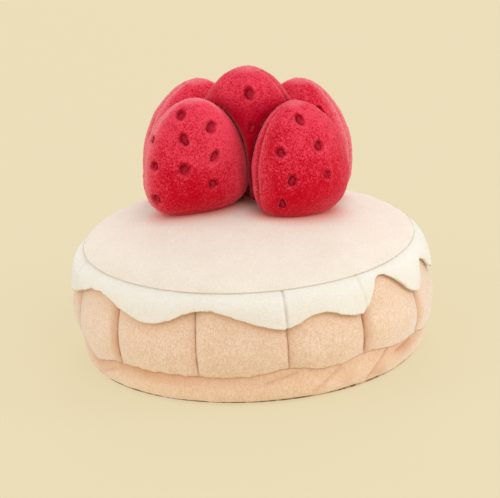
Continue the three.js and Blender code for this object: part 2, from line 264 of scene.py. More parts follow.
def pillow(angle):
    """0 at a quilted panel's seams and 1 over its stuffed middle."""
    return np.sqrt(1 - np.abs(2 * between(PANEL_SEAMS, angle)[2] - 1) ** 4)


def off_panel_seam(angle):
    """How far along the cloth a direction is from the nearest quilting seam."""
    return np.radians(np.min([np.abs(turn_between(s, angle)) for s in PANEL_SEAMS], axis=0)) * BODY_RADIUS


def seam_height(angle):
    rise = sum(up * towards(at, angle, SEAM_PEAK_SPREAD) for at, up in SEAM_PEAKS)
    uneven = rough(around(angle, BODY_RADIUS, 0.0), (0.25, 2.6, 22), (0.11, 1.1, 23))
    return SEAM_HEIGHT + rise * MM + uneven


# From foot to top: radius, and share of the height.
WALL_OUTLINE = (
    (SEAM_RADIUS + MM, 0), (BODY_RADIUS - 0.6 * MM, 0.13), (BODY_RADIUS, 0.32), (BODY_RADIUS - 1.5 * MM, 0.6),
    (BODY_RADIUS - 3.4 * MM, 0.84), (RIM_RADIUS - 1.6 * MM, 1),
)
BASE_OUTLINE = (
    (BASE_FLAT_RADIUS, 0), (BASE_FLAT_RADIUS + 0.3 * MM, 0.06), (BASE_RADIUS - 1.4 * MM, 0.16),
    (BASE_RADIUS - 0.3 * MM, 0.38), (BASE_RADIUS, 0.64), (SEAM_RADIUS + 0.6 * MM, 1),
)
ALONG = np.linspace(0, 1, 400)
WALL_RISE = spline(WALL_OUTLINE, ALONG)[..., 1]


def fullest_between(along):
    """0 at the wall's sewn foot and rim, and near 1 between them."""
    return np.sqrt(np.sin(np.pi * np.clip(along, 0, 1)))


def wall_radius(angle, along, depth):
    return spline(WALL_OUTLINE, along)[..., 0] - depth * fullest_between(along) * (1 - pillow(angle))


def wall_along(angle, height):
    """The share of the wall's outline where it reaches a height."""
    low = seam_height(angle)
    return np.interp((height - low) / (RIM_HEIGHT - low), WALL_RISE, ALONG)


def hem_height(angle):
    turns, heights = np.transpose(HEM_TURNS)
    before, after, share = between(turns, angle)
    low, high = heights[before] * MM, heights[after] * MM
    return low + (high - low) * smooth(share, 0, 1) + rough(around(angle, BODY_RADIUS, 0.0), (0.22, 1.9, 21))


def fold_depth(angles, height):
    """How deep the base's folds are over its grid, each a valley with a low roll of cloth on one side."""
    arc = np.broadcast_to(angles, height.shape)
    depths = np.zeros(height.shape)
    for (a0, z0), (a1, z1), depth in BASE_FOLDS:
        run = np.array([np.radians(turn_between(a0, a1)) * BASE_RADIUS, (z1 - z0) * MM])
        place = np.stack([np.radians(turn_between(a0, arc)) * BASE_RADIUS, height - z0 * MM], -1)
        off = place - np.clip(place @ run / (run @ run), 0, 1)[..., None] * run
        rolled = off @ np.array([-run[1], run[0]]) > 0
        far = np.linalg.norm(off, axis=-1)
        depths += depth * MM * (bell(far, 0.8 * MM) - 0.6 * bell(far - 1.6 * MM, 1.2 * MM) * rolled)
    return depths


def dome_height(angle, radius):
    share = np.minimum(radius / RIM_RADIUS, 1)
    slump = 1 - DOME_SLUMP * share * np.sin(np.radians(angle))
    rise = (DOME_RISE - DOME_EDGE) * (1 - share**2.1) + DOME_EDGE * (1 - share**20)
    return RIM_HEIGHT + slump * rise


def dome_over(x, y):
    x = x + LEAN * (RIM_HEIGHT + DOME_RISE - LEAN_FOOT)
    return dome_height(np.degrees(np.arctan2(x, -y)), np.hypot(x, y))


# ---- meshes
def object_of(name, points, faces, marks):
    """A smooth mesh object of points and faces, with marks, which are numbers stored at its points."""
    mesh = bpy.data.meshes.new(name)
    mesh.from_pydata(np.asarray(points).reshape(-1, 3).tolist(), [], faces)
    for mark, values in marks.items():
        stored = mesh.attributes.new(mark, "FLOAT", "POINT").data
        stored.foreach_set("value", np.asarray(values, np.float32))
    mesh.shade_smooth()
    mesh.update()
    return linked(name, mesh)


def linked(name, data):
    """A new object of some data, in the scene."""
    thing = bpy.data.objects.new(name, data)
    bpy.context.scene.collection.objects.link(thing)
    return thing


def skin(name, rings, bottom=None, top=None, **marks):
    """A closed mesh over rings of points that run round. Two end points shut it; without them the last ring
    joins the first. Marks have one row for all rings or a row for each, but reach on over end rings that they
    don't give."""
    rows, columns = rings.shape[:2]
    points = rings.reshape(-1, 3)
    at = np.arange(rows * columns).reshape(rows, columns)
    beside = np.roll(at, -1, 1)
    band = bottom is None
    above, above_beside = (np.roll(g, -1, 0) if band else g[1:] for g in (at, beside))
    at_low, beside_low = (at, beside) if band else (at[:-1], beside[:-1])
    faces = np.stack([at_low, beside_low, above_beside, above], -1).reshape(-1, 4).tolist()
    for mark, values in marks.items():
        missing = rows - len(values) if len(values) > 1 else 0
        values = np.broadcast_to(values, (rows - missing, columns))
        values = np.pad(values, ((missing - missing // 2, missing // 2), (0, 0)), mode="edge").ravel()
        marks[mark] = values if band else np.append(values, values[[0, -1]])
    if not band:
        low, high = rows * columns, rows * columns + 1
        points = np.vstack([points, bottom, top])
        faces += [(low, b, a) for a, b in zip(at[0].tolist(), beside[0].tolist())]
        faces += [(high, a, b) for a, b in zip(at[-1].tolist(), beside[-1].tolist())]
    return object_of(name, points, faces, marks)


def dress(piece, material, node=None):
    """Gives a finished piece its material, hides the solid it stands for and hangs it under the body."""
    piece.data.materials.clear()
    piece.data.materials.append(material)
    piece.data.polygons.foreach_set("material_index", np.zeros(len(piece.data.polygons), np.int32))
    if node:
        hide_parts(node)
    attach(piece, "root")


# ---- node trees
def grow(tree, kind, settings=None, inputs=None):
    """Adds a node of a type to a tree, with its settings and the values or links of its sockets."""
    node = tree.nodes.new(kind)
    for name, value in (settings or {}).items():
        setattr(node, name, value)
    for key, value in (inputs or {}).items():
        socket = node.inputs[key]
        value = getattr(value, "socket", value)
        if isinstance(value, bpy.types.NodeSocket):
            tree.links.new(value, socket)
        else:
            socket.default_value = value
    return node


class Number:
    """A value in a node tree that takes part in Python expressions."""

    def __init__(self, tree, socket):
        self.tree, self.socket = tree, socket

    def maths(self, operation, *values):
        node = grow(self.tree, "ShaderNodeMath", {"operation": operation}, dict(enumerate(values)))
        return Number(self.tree, node.outputs[0])

    def __add__(self, other):
        return self.maths("ADD", self, other)

    __radd__ = __add__

    def __sub__(self, other):
        return self.maths("SUBTRACT", self, other)

    def __rsub__(self, other):
        return self.maths("SUBTRACT", other, self)

    def __mul__(self, other):
        return self.maths("MULTIPLY", self, other)

    __rmul__ = __mul__

    def step(self, low, high):
        """A smooth step from 0 at low to 1 at high."""
        node = grow(self.tree, "ShaderNodeMapRange", {"interpolation_type": "SMOOTHSTEP"},
                    {"Value": self, "From Min": low, "From Max": high})
        return Number(self.tree, node.outputs["Result"])


class Cloth:
    """The shader tree of one plush cloth."""

    def __init__(self, name, sheen, sheen_tint, roughness=0.92, gloss=0.12, spread=0.5):
        self.material = bpy.data.materials.new(name)
        self.material.use_nodes = True
        self.tree = self.material.node_tree
        self.shader = self.tree.nodes["Principled BSDF"]
        for socket, value in (("Roughness", roughness), ("Sheen Weight", sheen), ("Sheen Roughness", spread),
                              ("Sheen Tint", (*sheen_tint, 1)), ("Specular IOR Level", gloss)):
            self.shader.inputs[socket].default_value = value
        self.place = grow(self.tree, "ShaderNodeTexCoord").outputs["Object"]

    def noise(self, size, stretch=(1, 1, 1), detail=2.0, roughness=0.5):
        """Noise from 0 to 1 with lumps of a size, longer along an axis whose stretch is over 1."""
        scale = [1 / (size * s) for s in stretch]
        place = grow(self.tree, "ShaderNodeMapping", None, {"Vector": self.place, "Scale": scale})
        node = grow(self.tree, "ShaderNodeTexNoise", None, {
            "Vector": place.outputs[0], "Scale": 1.0, "Detail": detail, "Roughness": roughness})
        return Number(self.tree, node.outputs["Fac"])

    def mark(self, name):
        """A number stored at the mesh's points."""
        node = grow(self.tree, "ShaderNodeAttribute", {"attribute_name": name})
        return Number(self.tree, node.outputs["Fac"])

    def upward(self):
        """How far the cloth faces up, from -1 to 1."""
        normal = grow(self.tree, "ShaderNodeNewGeometry").outputs["Normal"]
        return Number(self.tree, grow(self.tree, "ShaderNodeSeparateXYZ", None, {0: normal}).outputs["Z"])

    def mix(self, factor, first, second):
        """A colour between two colours, each three numbers or a socket."""
        first, second = (c if isinstance(c, bpy.types.NodeSocket) else (*c, 1) for c in (first, second))
        node = grow(self.tree, "ShaderNodeMix", {"data_type": "RGBA"}, {0: factor, 6: first, 7: second})
        return node.outputs[2]

    def creased(self, colour, size, crease):
        """A colour with painted shade in its creases, which comes and goes over a size."""
        broken = self.noise(size, detail=1).step(0.3, 0.7) * 0.7 + 0.3
        return self.mix(self.mark("crease") * broken, colour, crease)

    def finish(self, colour, height, depth):
        """Feeds the shader its colour and a relief of a depth in metres."""
        bump = grow(self.tree, "ShaderNodeBump", None, {"Height": height, "Distance": depth, "Strength": 1.0})
        self.tree.links.new(colour, self.shader.inputs["Base Color"])
        self.tree.links.new(bump.outputs[0], self.shader.inputs["Normal"])
        return self.material


def pile(name, settings, sheen, contrast, nap=(1, 1, 2.5), depth=0.25 * MM):
    """Short brushed pile: fine speckle, streaks along the nap, soft clouds, painted shade in the creases that
    comes and goes, and a second colour of painted shade, on the cushion with painted red reflected light."""
    cloth = Cloth(name, sheen, (1, 1, 1))
    speckle = cloth.noise(0.46 * MM, tuple(1 + (n - 1) * 0.25 for n in nap), detail=3, roughness=0.65)
    streaks = cloth.noise(0.7 * MM, nap)
    clouds = cloth.noise(8 * MM)
    tone = ((speckle - 0.5) * 1.3 + (streaks - 0.5) * 0.5) * contrast + (clouds - 0.5) * 0.6 + 0.5
    colour = cloth.mix(tone.step(0.0, 1.0), settings.deep, settings.lit)
    # Painted shade, broken up by the clouds.
    colour = cloth.mix(cloth.mark("near") * (0.6 + clouds * 0.8), colour, settings.near)
    colour = cloth.creased(colour, 2.4 * MM, settings.crease)
    return cloth.finish(colour, speckle * 0.7 + streaks * 0.3, depth)


def berry_pile(name, settings):
    """Velvet of the berries: speckled pink tips and deep red, with painted light on the cloth that faces up,
    painted shade low on the panels, painted rim light, painted shade between berries and in the seams.
    """
    cloth = Cloth(name, 0.9, settings.sheen, roughness=0.85, gloss=0.03, spread=0.35)
    speckle = cloth.noise(0.42 * MM, (1, 1, 1.3), detail=3, roughness=0.75)
    brushed = cloth.noise(2.2 * MM, (1, 1, 1.5))
    clouds = cloth.noise(7 * MM, (1, 1, 1.4))
    tone = (speckle - 0.5) * 3.5 + (brushed - 0.5) * 0.5 + (clouds - 0.5) * 0.6
    # Painted light on the cloth that faces up, and the painted shade of the nap mark.
    tone = tone + cloth.upward().step(-0.7, 1.0) * 0.45 + 0.25 - cloth.mark("nap") * 0.35
    colour = cloth.mix(tone.step(0.0, 1.0), settings.deep, settings.lit)
    # Painted rim light along the panels' edges and at the top.
    colour = cloth.mix(cloth.mark("raised") * (speckle * 1.8 - 0.3), colour, settings.raised)
    colour = cloth.mix(cloth.mark("near"), colour, settings.near)
    colour = cloth.creased(colour, 1.3 * MM, settings.crease)
    # The seeds' thread colour, with painted shadow on the upper left of each dimple.
    colour = cloth.mix(cloth.mark("stitched"), colour, settings.thread)
    return cloth.finish(colour, speckle, 0.25 * MM)


def thread_material(name, colour):
    """Twisted sewing thread."""
    cloth = Cloth(name, 0.3, colour, roughness=0.7)
    fine = cloth.noise(0.25 * MM, detail=1)
    tone = cloth.mix(fine, [c * 0.75 for c in colour], [min(1, c * 1.25) for c in colour])
    return cloth.finish(tone, fine, 0.08 * MM)


def tree_with(name, **inputs):
    """A Geometry Nodes group with a geometry in and out and named inputs: name=(socket type, default)."""
    tree = bpy.data.node_groups.new(name, "GeometryNodeTree")
    tree.interface.new_socket("Geometry", in_out="INPUT", socket_type="NodeSocketGeometry")
    for key, (kind, default) in inputs.items():
        socket = tree.interface.new_socket(key, in_out="INPUT", socket_type=kind)
        if default is not None:
            socket.default_value = default
    tree.interface.new_socket("Geometry", in_out="OUTPUT", socket_type="NodeSocketGeometry")
    return tree, tree.nodes.new("NodeGroupInput").outputs


def stitches_tree():
    """Threads laid along a path, turned from it by an angle. The path's points store which way is out."""
    tree, given = tree_with(
        "Stitches", Spacing=("NodeSocketFloat", MM), Length=("NodeSocketFloat", MM),
        Thickness=("NodeSocketFloat", 0.3 * MM), Turn=("NodeSocketFloat", math.pi / 2),
        Jitter=("NodeSocketFloat", 0.15), Gaps=("NodeSocketFloat", 0.0), Seed=("NodeSocketInt", 0),
        Material=("NodeSocketMaterial", None))
    path = grow(tree, "GeometryNodeMeshToCurve", None, {0: given["Geometry"]}).outputs[0]
    path = grow(tree, "GeometryNodeResampleCurve", {"mode": "LENGTH"},
                {"Curve": path, "Length": given["Spacing"]}).outputs[0]
    ball = grow(tree, "GeometryNodeMeshUVSphere", None,
                {"Segments": 6, "Rings": 4, "Radius": 0.5}).outputs[0]
    size = grow(tree, "ShaderNodeCombineXYZ", None,
                {0: given["Length"], 1: given["Thickness"], 2: given["Thickness"]}).outputs[0]
    thread = grow(tree, "GeometryNodeTransform", None, {"Geometry": ball, "Scale": size}).outputs[0]
    out = grow(tree, "GeometryNodeInputNamedAttribute", {"data_type": "FLOAT_VECTOR"}, {0: "out"}).outputs[0]
    upright = grow(tree, "FunctionNodeAlignRotationToVector", {"axis": "Z"}, {"Vector": out}).outputs[0]
    tangent = grow(tree, "GeometryNodeInputTangent").outputs[0]
    along = grow(tree, "FunctionNodeAlignRotationToVector", {"axis": "X", "pivot_axis": "Z"},
                 {"Rotation": upright, "Vector": tangent}).outputs[0]
    jitter = Number(tree, given["Jitter"])
    loose = grow(tree, "FunctionNodeRandomValue", {"data_type": "FLOAT"},
                 {2: jitter * -1, 3: jitter, 8: given["Seed"]}).outputs[1]
    turn = grow(tree, "ShaderNodeCombineXYZ", None, {2: Number(tree, loose) + given["Turn"]}).outputs[0]
    turn = grow(tree, "FunctionNodeEulerToRotation", None, {0: turn}).outputs[0]
    turned = grow(tree, "FunctionNodeRotateRotation", {"rotation_space": "LOCAL"},
                  {"Rotation": along, "Rotate By": turn}).outputs[0]
    patches = grow(tree, "ShaderNodeTexNoise", None, {"Scale": 180.0, "Detail": 1.0}).outputs["Fac"]
    present = grow(tree, "FunctionNodeCompare", {"data_type": "FLOAT", "operation": "GREATER_EQUAL"},
                   {0: patches, 1: given["Gaps"]}).outputs[0]
    laid = grow(tree, "GeometryNodeInstanceOnPoints", None, {
        "Points": path, "Selection": present, "Instance": thread, "Rotation": turned}).outputs[0]
    real = grow(tree, "GeometryNodeRealizeInstances", None, {0: laid}).outputs[0]
    soft = grow(tree, "GeometryNodeSetShadeSmooth", None, {0: real}).outputs[0]
    done = grow(tree, "GeometryNodeSetMaterial", None, {"Geometry": soft, "Material": given["Material"]})
    grow(tree, "NodeGroupOutput", None, {0: done.outputs[0]})
    return tree


def made_by(tree, name, source, values):
    """A new plain mesh object: what a tree makes of a source object, which is then removed."""
    modifier = source.modifiers.new(name, "NODES")
    modifier.node_group = tree
    for item in tree.interface.items_tree:
        if item.in_out == "INPUT" and item.name in values:
            modifier[item.identifier] = values[item.name]
    bpy.context.view_layer.update()
    evaluated = source.evaluated_get(bpy.context.evaluated_depsgraph_get())
    mesh = bpy.data.meshes.new_from_object(evaluated)
    mesh.name = name
    made = linked(name, mesh)
    bpy.data.objects.remove(source)
    return made


def path_of(name, lines):
    """A wire object through lines of points, each (points, outward directions or one for all, closed)."""
    points, out, edges = [], [], []
    for line, outward, closed in lines:
        start, count = len(points), len(line)
        points += line.tolist()
        out += np.broadcast_to(outward, line.shape).tolist()
        edges += [(start + k, start + k + 1) for k in range(count - 1)]
        if closed:
            edges.append((start + count - 1, start))
    mesh = bpy.data.meshes.new(name)
    mesh.from_pydata(points, edges, [])
    mesh.attributes.new("out", "FLOAT_VECTOR", "POINT").data.foreach_set("vector", np.ravel(out))
    return linked(name, mesh)


def stitch(name, slot, colour, lines, **values):
    """Makes the stitches along some lines, as a piece of their own."""
    thread = thread_material(name, colour)
    made = made_by(stitches_tree(), name, path_of(name + "_path", lines), {"Material": thread, **values})
    dress(made, thread)


# ---- settings
def tint(name, description, *screen):
    """A colour to set, whose default is given as a screen shows it, with its parts from 0 to 255."""
    shares = (c / 255 for c in screen)
    linear = tuple(s / 12.92 if s < 0.04045 else ((s + 0.055) / 1.055) ** 2.4 for s in shares)
    return FloatVectorProperty(name=name, description=description, default=linear, size=3, min=0, max=1,
                               subtype="COLOR")


def length(name, description, default):
    return FloatProperty(name=name, description=description, default=default, min=0, subtype="DISTANCE",
                         unit="LENGTH")


class WallSettings(bpy.types.PropertyGroup):
    quilting: length("Quilting", "How far the panel seams pull in", 1.7 * MM)
    groove: length("Groove", "How much deeper the seam itself is", 0.35 * MM)
    lit: tint("Lit pile", "Colour of the tips of the wall's pile", 253, 225, 202)
    deep: tint("Deep pile", "Colour between the wall's fibres", 237, 197, 165)
    near: tint("Shaded pile", "Colour beside the seams and under the hem", 222, 170, 130)
    # Painted shade deep in the seams and along the foot seam.
    crease: tint("Crease", "Colour deep in the wall's seams", 170, 120, 88)


class BaseSettings(bpy.types.PropertyGroup):
    lit: tint("Lit pile", "Colour of the tips of the base's pile", 255, 226, 199)
    deep: tint("Deep pile", "Colour between the base's fibres", 243, 200, 165)
    near: tint("Shaded pile", "Colour under the wall and in the folds", 220, 154, 106)
    # Painted shade in the folds and the seam, and painted shadow under the foot.
    crease: tint("Crease", "Colour deep in the base's folds and under its foot", 150, 112, 80)


class SkirtSettings(bpy.types.PropertyGroup):
    thickness: length("Thickness", "Thickness of the cream skirt", 1.3 * MM)
    lit: tint("Lit pile", "Colour of the tips of the skirt's pile", 250, 246, 238)
    deep: tint("Deep pile", "Colour between the skirt's fibres", 243, 233, 217)
    # Painted shade along the rim.
    near: tint("Shaded pile", "Colour along the skirt's rim", 232, 222, 206)
    # Painted shade deep in the seams' grooves.
    crease: tint("Crease", "Colour deep in the skirt's seams", 206, 192, 172)
    thread: tint("Hem thread", "Colour of the thread along the hem", 212, 178, 146)


class TopSettings(bpy.types.PropertyGroup):
    lit: tint("Lit pile", "Colour of the tips of the cushion's pile", 247, 235, 220)
    deep: tint("Deep pile", "Colour between the cushion's fibres", 238, 222, 203)
    # Painted shade and painted red reflected light beside the berries.
    near: tint("Blush", "Colour beside the berries", 236, 138, 114)
    # Painted shade at the cushion's edge.
    crease: tint("Crease", "Colour deep in the cushion's seam", 226, 214, 198)
    thread: tint("Seam thread", "Colour of the thread round the cushion", 240, 228, 212)


class BerrySettings(bpy.types.PropertyGroup):
    groove: FloatProperty(name="Seam groove", description="Share of the width that the side seams pull in",
                          default=0.075, min=0, max=0.2, subtype="FACTOR")
    dimple: length("Dimple", "How deep each stitched seed pulls in", 1.0 * MM)
    nap: length("Nap", "Height of the velvet's tufts", 0.11 * MM)
    lit: tint("Lit pile", "Colour of the pile where it stands up", 250, 74, 98)
    deep: tint("Deep pile", "Colour between the velvet's tufts", 204, 2, 32)
    # Painted shade where berries meet one another and at their feet.
    near: tint("Pressed pile", "Colour where berries press on one another", 174, 0, 34)
    # Painted shade deep in the side seams.
    crease: tint("Crease", "Colour deep in the berries' seams", 146, 3, 26)
    sheen: tint("Sheen", "Colour of the velvet's light edge", 255, 148, 158)
    # Painted rim light along the panels' edges.
    raised: tint("Raised pile", "Colour along the panels' edges, where the pile stands up", 255, 158, 164)
    thread: tint("Seed thread", "Colour of the thread round the seeds", 154, 8, 36)
    seed: tint("Seed", "Colour of the thread in the middle of the seeds", 198, 30, 54)


class StageSettings(bpy.types.PropertyGroup):
    floor: tint("Floor", "Colour of the floor", 235, 221, 184)
    key: FloatProperty(name="Key light", description="Power of the soft light over the front", default=2.1,
                       min=0, unit="POWER")
    fill: FloatProperty(name="Fill lights", description="Power of the lights at the sides and the back",
                        default=1.0, min=0, unit="POWER")
    sky: FloatProperty(name="Sky", description="Strength of the even light all round", default=0.75, min=0)


# ---- the crust and the cream
class TART_OT_crust_base(bpy.types.Operator):
    """Makes the flat-bottomed base, with its loose folds"""

    bl_idname = "tart.crust_base"
    bl_label = "Crust base"

    def execute(self, context):
        settings = context.scene.tart_base
        angles = panel_angles(BASE_COLUMNS, 0.06)
        share = np.linspace(0, 1, BASE_ROWS)[:, None]
        radius, rise = np.moveaxis(spline(BASE_OUTLINE, share), -1, 0)
        height = np.maximum(rise, 0) * (seam_height(angles) - SEAM_GAP / 2)
        tuck = TUCK_DEPTH * towards(TUCK_TOWARDS, angles, TUCK_WIDTH) * (1 - smooth(share, 0.6, 1))
        spread = BASE_SPREAD * np.sin(np.radians(angles)) ** 2 * (1 - smooth(share, 0, 0.45))
        rings = around(angles, radius - tuck + spread, height)
        folds = fold_depth(angles, height)
        relief = rough(rings, (0.22, 7, 1), (0.06, 1.6, 2)) - folds
        rings = lifted(rings, relief * smooth(share, 0.02, 0.2))
        rings[..., 2] = np.maximum(rings[..., 2], 0)
        under = around(angles, BASE_FLAT_RADIUS * 0.6, 0)[None]
        core = around(angles, CORE_RADIUS, SEAM_HEIGHT - GAP / 2)[None]
        rings = np.concatenate([under, rings, core])
        # Painted shade in the folds and at the seam, and painted shadow along the foot, lighter in places.
        folded = np.clip(folds / MM, 0, 1)
        foot = FOOT_SHADOW - sum(much * towards(at, angles, wide) for at, wide, much in FOOT_LIGHTER)
        foot = foot * (1 - smooth(share, 0.14, 0.36))
        shaded = sum(much * towards(at, angles, wide) * bell(height / MM - up, tall)
                     for at, up, wide, tall, much in BASE_SHADES)
        much, more, at, wide = WALL_SHADOW
        under_wall = (much + more * towards(at, angles, wide)) * bell(1 - share, 0.18)
        piece = skin("crust_base_plush", rings, around(0, 0, 0), around(0, 0, SEAM_HEIGHT - GAP / 2),
                     crease=0.25 * bell(1 - share, 0.03) + foot + 0.35 * folded,
                     near=np.clip(under_wall + 0.8 * folded + shaded, 0, 1))
        dress(piece, pile("base_plush", settings, 0.8, 2.1), "crust_base")
        return {"FINISHED"}


class TART_OT_crust_wall(bpy.types.Operator):
    """Makes the quilted crust wall"""

    bl_idname = "tart.crust_wall"
    bl_label = "Crust wall"

    def execute(self, context):
        settings = context.scene.tart_wall
        angles = panel_angles(WALL_COLUMNS)
        along = np.linspace(0, 1, WALL_ROWS)[:, None]
        low, high = seam_height(angles) + SEAM_GAP / 2, RIM_HEIGHT - GAP / 2
        height = low + (high - low) * spline(WALL_OUTLINE, along)[..., 1]
        off_seam, full = off_panel_seam(angles), fullest_between(along)
        radius = wall_radius(angles, along, settings.quilting)
        radius = radius - settings.groove * full * bell(off_seam, 0.45 * MM)
        rings = around(angles, radius, height)
        rings = lifted(rings, rough(rings, (0.25, 8, 3), (0.06, 1.5, 4)) * full)
        core = around(angles, CORE_RADIUS, SEAM_HEIGHT + GAP / 2)[None]
        rings = np.concatenate([core, rings])
        # The shade beside a seam lies on its side away from the front.
        before, after, place = between(PANEL_SEAMS, angles)
        shaded = np.where(place < 0.5, np.array(SEAM_SHADES)[before], np.array(SEAM_SHADES)[after])
        shifted = angles - np.degrees(1.3 * MM / BODY_RADIUS) * np.sin(np.radians(angles))
        below_hem = np.clip(hem_height(angles) - height, 0, None)
        shade = 0.75 * shaded * bell(off_panel_seam(shifted), 2 * MM)
        shade = shade + 0.4 * bell(below_hem, 1.5 * MM) + 0.25 * bell(below_hem, 5 * MM)
        shade = shade + 0.2 * bell(along, 0.04)
        # Painted shade deep in the seams and along the foot seam.
        crease = 0.75 * bell(off_seam, 0.3 * MM) + 0.3 * bell(along, 0.012)
        piece = skin("crust_wall_plush", rings, around(0, 0, SEAM_HEIGHT + GAP / 2),
                     around(0, 0, RIM_HEIGHT - GAP / 2),
                     crease=np.clip(crease, 0, 1), near=np.clip(shade, 0, 1))
        dress(piece, pile("wall_plush", settings, 1.0, 2.4), "crust_wall")
        return {"FINISHED"}


class TART_OT_cream_skirt(bpy.types.Operator):
    """Makes the cream skirt and its dripping hem"""

    bl_idname = "tart.cream_skirt"
    bl_label = "Cream skirt"

    def execute(self, context):
        settings, wall = context.scene.tart_skirt, context.scene.tart_wall
        angles = panel_angles(WALL_COLUMNS, 0.03)
        hem, rim = hem_height(angles), RIM_HEIGHT - 0.04 * MM
        thick = settings.thickness
        lip, top_lip = thick / 2, 0.16 * MM
        # Its section, down the lining, round the hem, up the outside and over the rim: share of the height,
        # how far out from the lining, and how far above that share.
        turn = np.linspace(0, np.pi, LIP_ROWS + 2)[1:-1]
        rows = [(share, 0, 0) for share in np.linspace(1, 0, LINING_ROWS)]
        rows += [(0, thick / 2 * (1 - math.cos(t)), -lip * math.sin(t)) for t in turn]
        rows += [(share, thick, 0) for share in np.linspace(0, 1, OUTSIDE_ROWS)]
        rows += [(1, thick / 2 * (1 + math.cos(t)), top_lip * math.sin(t)) for t in turn]
        share, proud, shift = (np.array(column)[:, None] for column in zip(*rows))
        height = hem + lip + (rim - hem - lip - top_lip) * share + shift
        lining = np.max([wall_radius(angles + d, wall_along(angles + d, height), wall.quilting)
                         for d in (-5, 0, 5)], axis=0)
        lining = np.maximum(lining, spline(WALL_OUTLINE, wall_along(angles, height))[..., 0] - 0.8 * MM) + GAP
        outside = proud / thick
        swell = 0.35 * MM * np.sin(np.pi * share) * outside
        groove = sum(deep * bell(np.radians(turn_between(at, angles)) * BODY_RADIUS, 0.5 * MM)
                     for at, deep in SKIRT_SEAMS)
        rings = around(angles, lining + proud * (1 - 0.25 * share) + swell, height)
        relief = rough(rings, (0.2, 8, 5), (0.05, 1.5, 6)) - 0.5 * MM * groove
        outward = grid_normals(rings)
        rings += outward * (relief * outside)[..., None]
        # Painted shade in the seams' grooves and along the rim.
        piece = skin("cream_skirt_plush", rings, crease=0.6 * groove * outside,
                     near=0.2 * bell(1 - share, 0.1))
        dress(piece, pile("skirt_plush", settings, 0.8, 1.3), "cream_skirt")
        drop = float(np.mean(rim - hem))
        rim - min(hem)
        row = LINING_ROWS + LIP_ROWS - 2
        # Thread ticks along the hem: stitches, and partly painted shade between the pile's fibres.
        stitch("hem_stitches", "cream", settings.thread, [(rings[row], outward[row], True)],
               Spacing=0.7 * MM, Length=0.6 * MM, Thickness=0.16 * MM, Gaps=0.55, Seed=4)
        return {"FINISHED"}


class TART_OT_cream_top(bpy.types.Operator):
    """Makes the domed cream cushion"""

    bl_idname = "tart.cream_top"
    bl_label = "Cream top"

    def execute(self, context):
        settings = context.scene.tart_top
        angles = np.arange(0, 360, TOP_STEP)
        share = (1 - np.linspace(0, 1, TOP_ROWS + 1)[:-1] ** 1.35)[:, None]
        outer = RIM_RADIUS - 0.1 * MM
        radius = share * outer
        height = np.maximum(dome_height(angles, radius), RIM_HEIGHT + 0.01 * MM)
        rings = around(angles, radius, height)
        edge = outer - radius
        puckers = rough(rings * (1, 1, 0), (0.25, 3, 7)) * bell(edge, 3.5 * MM)
        rings = lifted(rings, (rough(rings, (0.25, 11, 8)) + puckers) * smooth(edge, 0, MM))
        # Painted shade and painted red reflected light beside the berries, and faint painted shade at the
        # edge.
        nearest = nearness(rings, BERRIES.values(), 8 * MM)
        under = RIM_HEIGHT - 0.02 * MM
        tuck = around(angles, RIM_RADIUS - 0.7 * MM, under)[None]
        piece = skin("cream_top_plush", np.concatenate([tuck, rings]), around(0, 0, under),
                     around(0, 0, dome_height(0, 0)), crease=0.05 * bell(edge, 0.3 * MM), near=nearest**1.8)
        cloth = pile("top_plush", settings, 0.35, 1.2, nap=(1, 6, 1), depth=0.12 * MM)
        dress(piece, cloth, "cream_top")
        # At the height where nothing leans, points round the middle are outward directions too.
        angles = np.arange(0, 360, 0.5)
        seam = around(angles, RIM_RADIUS + 0.02 * MM, RIM_HEIGHT + 0.02 * MM)
        stitch("top_stitches", "cream_top", settings.thread, [(seam, around(angles, 1, LEAN_FOOT), True)],
               Spacing=0.6 * MM, Length=0.6 * MM, Thickness=0.22 * MM, Turn=0.0, Jitter=0.5, Gaps=0.35,
               Seed=6)
        return {"FINISHED"}


# ---- the strawberries
def fullness(share):
    """A berry's half width against its greatest, at a share of its height."""
    above = np.clip((share - FULLEST) / (1 - FULLEST), 0, 1)
    below = np.clip((FULLEST - share) / FULLEST, 0, 1)
    return np.where(share > FULLEST, (1 - above**2.05) ** 0.58, (1 - 0.62 * below**3.2) ** 0.45)


def berry_axes(berry):
    """A berry's foot on the dome and its rotation."""
    foot = np.array([berry.x * MM, berry.y * MM, float(dome_over(berry.x * MM, berry.y * MM))])
    lean, turn = math.radians(berry.lean), math.radians(berry.turn)
    return foot, np.array(Matrix.Rotation(lean, 3, "Y") @ Matrix.Rotation(turn, 3, "Z"))


def berry_bend(berry, share):
    return (berry.bend * share**2 + berry.foot * (1 - share) ** 4) * MM


def tucked(share):
    """How slim a berry is from front to back, next to its usual depth: its foot is rounded under."""
    return 1 - 0.22 * bell(share, 0.15)


def berry_skin(berry, angle, share, swell=1.0):
    """Points of a berry's skin. Angles are round its own axis, from its front."""
    foot, turn = berry_axes(berry)
    a, full = np.radians(angle), fullness(share) * swell
    x = BERRY_WIDTH / 2 * berry.width * full * np.sin(a) + berry_bend(berry, share)
    y = -BERRY_DEPTH / 2 * berry.width * full * tucked(share) * np.cos(a)
    return np.stack(np.broadcast_arrays(x, y, BERRY_HEIGHT * berry.height * share), -1) @ turn.T + foot


def within_berry(berry, points, margin):
    """Whether points lie within a berry's skin, let out by a margin."""
    foot, turn = berry_axes(berry)
    x, y, z = np.moveaxis((points - foot) @ turn, -1, 0)
    share = np.clip(z, 0, None) / (BERRY_HEIGHT * berry.height + margin)
    full = fullness(np.clip(share, 0, 1)) * berry.width
    across = (x - berry_bend(berry, share)) / (BERRY_WIDTH / 2 * full + margin)
    deep = y / (BERRY_DEPTH / 2 * full * tucked(share) + margin)
    return (share < 1) & (across**2 + deep**2 < 1)


